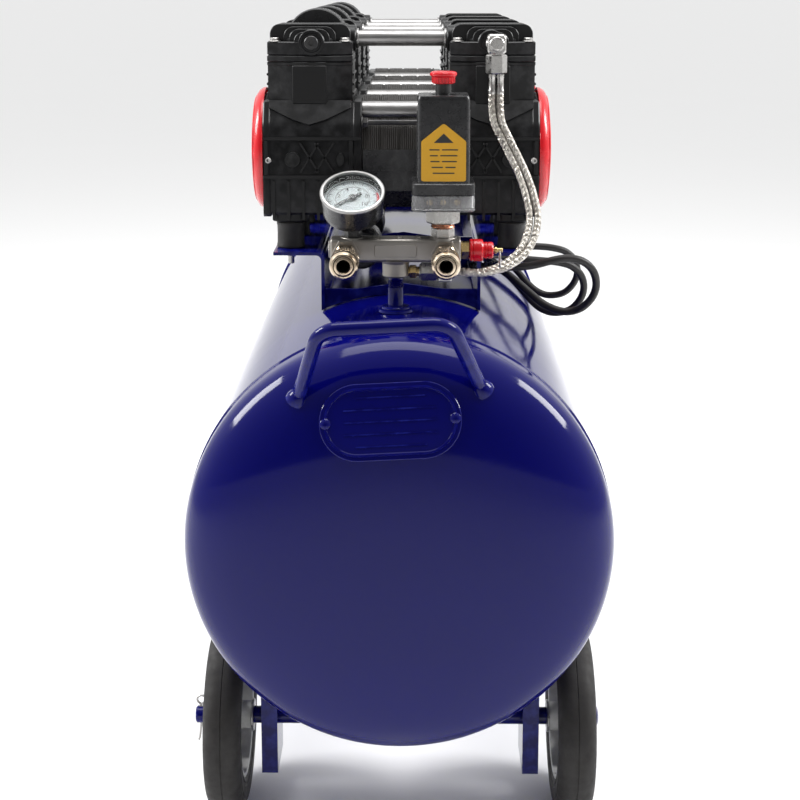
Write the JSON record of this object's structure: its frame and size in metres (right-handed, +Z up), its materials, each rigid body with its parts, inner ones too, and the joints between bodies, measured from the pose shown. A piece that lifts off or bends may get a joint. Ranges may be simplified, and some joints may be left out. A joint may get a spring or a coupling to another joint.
{
  "type": "air compressor",
  "caption": "Portable oil-free air compressor: horizontal tank on two wheels with a row of twin-cylinder pumps, gauge, pressure switch, safety valve and quick couplers.",
  "frame": {"origin": "floor level under the middle of the tank, on the vertical plane through its axis", "axes": "+Z up, +Y along the tank away from the wheels and controls, +X to the right seen from the control end"},
  "size_m": [0.4028, 1.0528, 0.7474],
  "materials": {
    "tank_paint": "gloss",
    "zinc_steel": "zinc plated",
    "black_steel": "black oxide",
    "tyre_rubber": "matt",
    "mount_rubber": "matt",
    "cord_rubber": "satin",
    "hub_paint": "satin",
    "brass": "satin",
    "coupler_plate": "nickel plated",
    "cast_grey": "die cast",
    "black_plastic": "moulded",
    "grey_plastic": "moulded",
    "dial_white": "printed",
    "clear_glass": "clear",
    "label_yellow": "printed film",
    "red_plastic": "moulded",
    "black_casting": "powder coated",
    "lamination": "laminated",
    "bright_tube": "polished",
    "piston_alloy": "cast",
    "braid": "braided"
  },
  "bodies": {
    "frame": {"tank_shell": "tank_paint", "front_handle": "tank_paint", "rear_handle": "tank_paint", "nameplate": "tank_paint", "nameplate_studs": "tank_paint", "axle_brackets": "tank_paint", "axle": "tank_paint", "split_pin": "zinc_steel", "axle_washers": "zinc_steel", "rear_legs": "tank_paint", "rubber_feet": "mount_rubber", "drain_valve": "brass", "frame_rails": "tank_paint", "frame_saddles": "tank_paint", "rubber_mounts": "mount_rubber", "mount_fasteners": "black_steel", "riser_pipe": "tank_paint", "manifold_block": "cast_grey", "manifold_fittings": "cast_grey", "coupler_bodies": "coupler_plate", "gauge_case": "black_plastic", "gauge_bezel": "black_plastic", "gauge_dial": "dial_white", "gauge_glass": "clear_glass", "switch_adaptor": "zinc_steel", "switch_base": "grey_plastic", "switch_cover": "black_plastic", "switch_label": "label_yellow", "safety_valve_body": "red_plastic", "outlet_elbow": "zinc_steel", "air_hoses": "braid", "cable_gland": "black_plastic", "power_cord": "cord_rubber", "mains_plug": "cord_rubber", "crankcases": "black_casting", "cylinders": "black_casting", "cylinder_heads": "black_casting", "stators": "lamination", "cross_tubes": "bright_tube", "fan_covers": "red_plastic", "intake_filters": "black_plastic", "head_screws": "black_steel", "port_plugs": "black_steel", "motor_capacitors": "black_plastic", "bearings": "zinc_steel", "pistons": "piston_alloy"},
    "wheel_left": {"wheel_hub_left": "hub_paint", "tyre_left": "tyre_rubber"},
    "wheel_right": {"wheel_hub_right": "hub_paint", "tyre_right": "tyre_rubber"},
    "rotor_1": {"pump_1_rotor": "lamination"},
    "rotor_2": {"pump_2_rotor": "lamination"},
    "rotor_3": {"pump_3_rotor": "lamination"},
    "rotor_4": {"pump_4_rotor": "lamination"},
    "needle": {"gauge_needle": "black_plastic"},
    "knob": {"switch_knob": "red_plastic"},
    "valve_stem": {"safety_valve_stem": "brass"},
    "sleeve_left": {"coupler_sleeve_left": "coupler_plate"},
    "sleeve_right": {"coupler_sleeve_right": "coupler_plate"},
    "drain_spindle": {"drain_knob": "brass"}
  },
  "joints": [
    {"name": "wheel_left_spin", "type": "hinge", "parent": "frame", "child": "wheel_left", "pos_m": [-0.161, -0.34, 0.087], "axis": [1, 0, 0], "continuous": true},
    {"name": "wheel_right_spin", "type": "hinge", "parent": "frame", "child": "wheel_right", "pos_m": [0.161, -0.34, 0.087], "axis": [1, 0, 0], "continuous": true},
    {"name": "rotor_1_spin", "type": "hinge", "parent": "frame", "child": "rotor_1", "pos_m": [0, -0.2105, 0.614], "axis": [1, 0, 0], "continuous": true},
    {"name": "rotor_2_spin", "type": "hinge", "parent": "frame", "child": "rotor_2", "pos_m": [0, -0.0555, 0.614], "axis": [1, 0, 0], "continuous": true},
    {"name": "rotor_3_spin", "type": "hinge", "parent": "frame", "child": "rotor_3", "pos_m": [0, 0.0995, 0.614], "axis": [1, 0, 0], "continuous": true},
    {"name": "rotor_4_spin", "type": "hinge", "parent": "frame", "child": "rotor_4", "pos_m": [0, 0.2545, 0.614], "axis": [1, 0, 0], "continuous": true},
    {"name": "needle_sweep", "type": "hinge", "parent": "frame", "child": "needle", "pos_m": [-0.042, -0.356, 0.58832], "axis": [0, 0.5446, -0.8387], "range_deg": [0, 250]},
    {"name": "switch_knob_travel", "type": "slide", "parent": "frame", "child": "knob", "axis": [0, 0, 1], "range_m": [-0.008, 0]},
    {"name": "safety_stem_pull", "type": "slide", "parent": "frame", "child": "valve_stem", "axis": [1, 0, 0], "range_m": [0, 0.004], "stiffness_N_per_m": 800, "springref_m": -0.001},
    {"name": "sleeve_left_slide", "type": "slide", "parent": "frame", "child": "sleeve_left", "axis": [0, 1, 0], "range_m": [0, 0.003], "stiffness_N_per_m": 1500, "springref_m": -0.001},
    {"name": "sleeve_right_slide", "type": "slide", "parent": "frame", "child": "sleeve_right", "axis": [0, 1, 0], "range_m": [0, 0.003], "stiffness_N_per_m": 1500, "springref_m": -0.001},
    {"name": "drain_cock_turn", "type": "hinge", "parent": "frame", "child": "drain_spindle", "pos_m": [0, -0.01, 0.1], "axis": [0, 1, 0], "range_deg": [0, 90]}
  ]
}
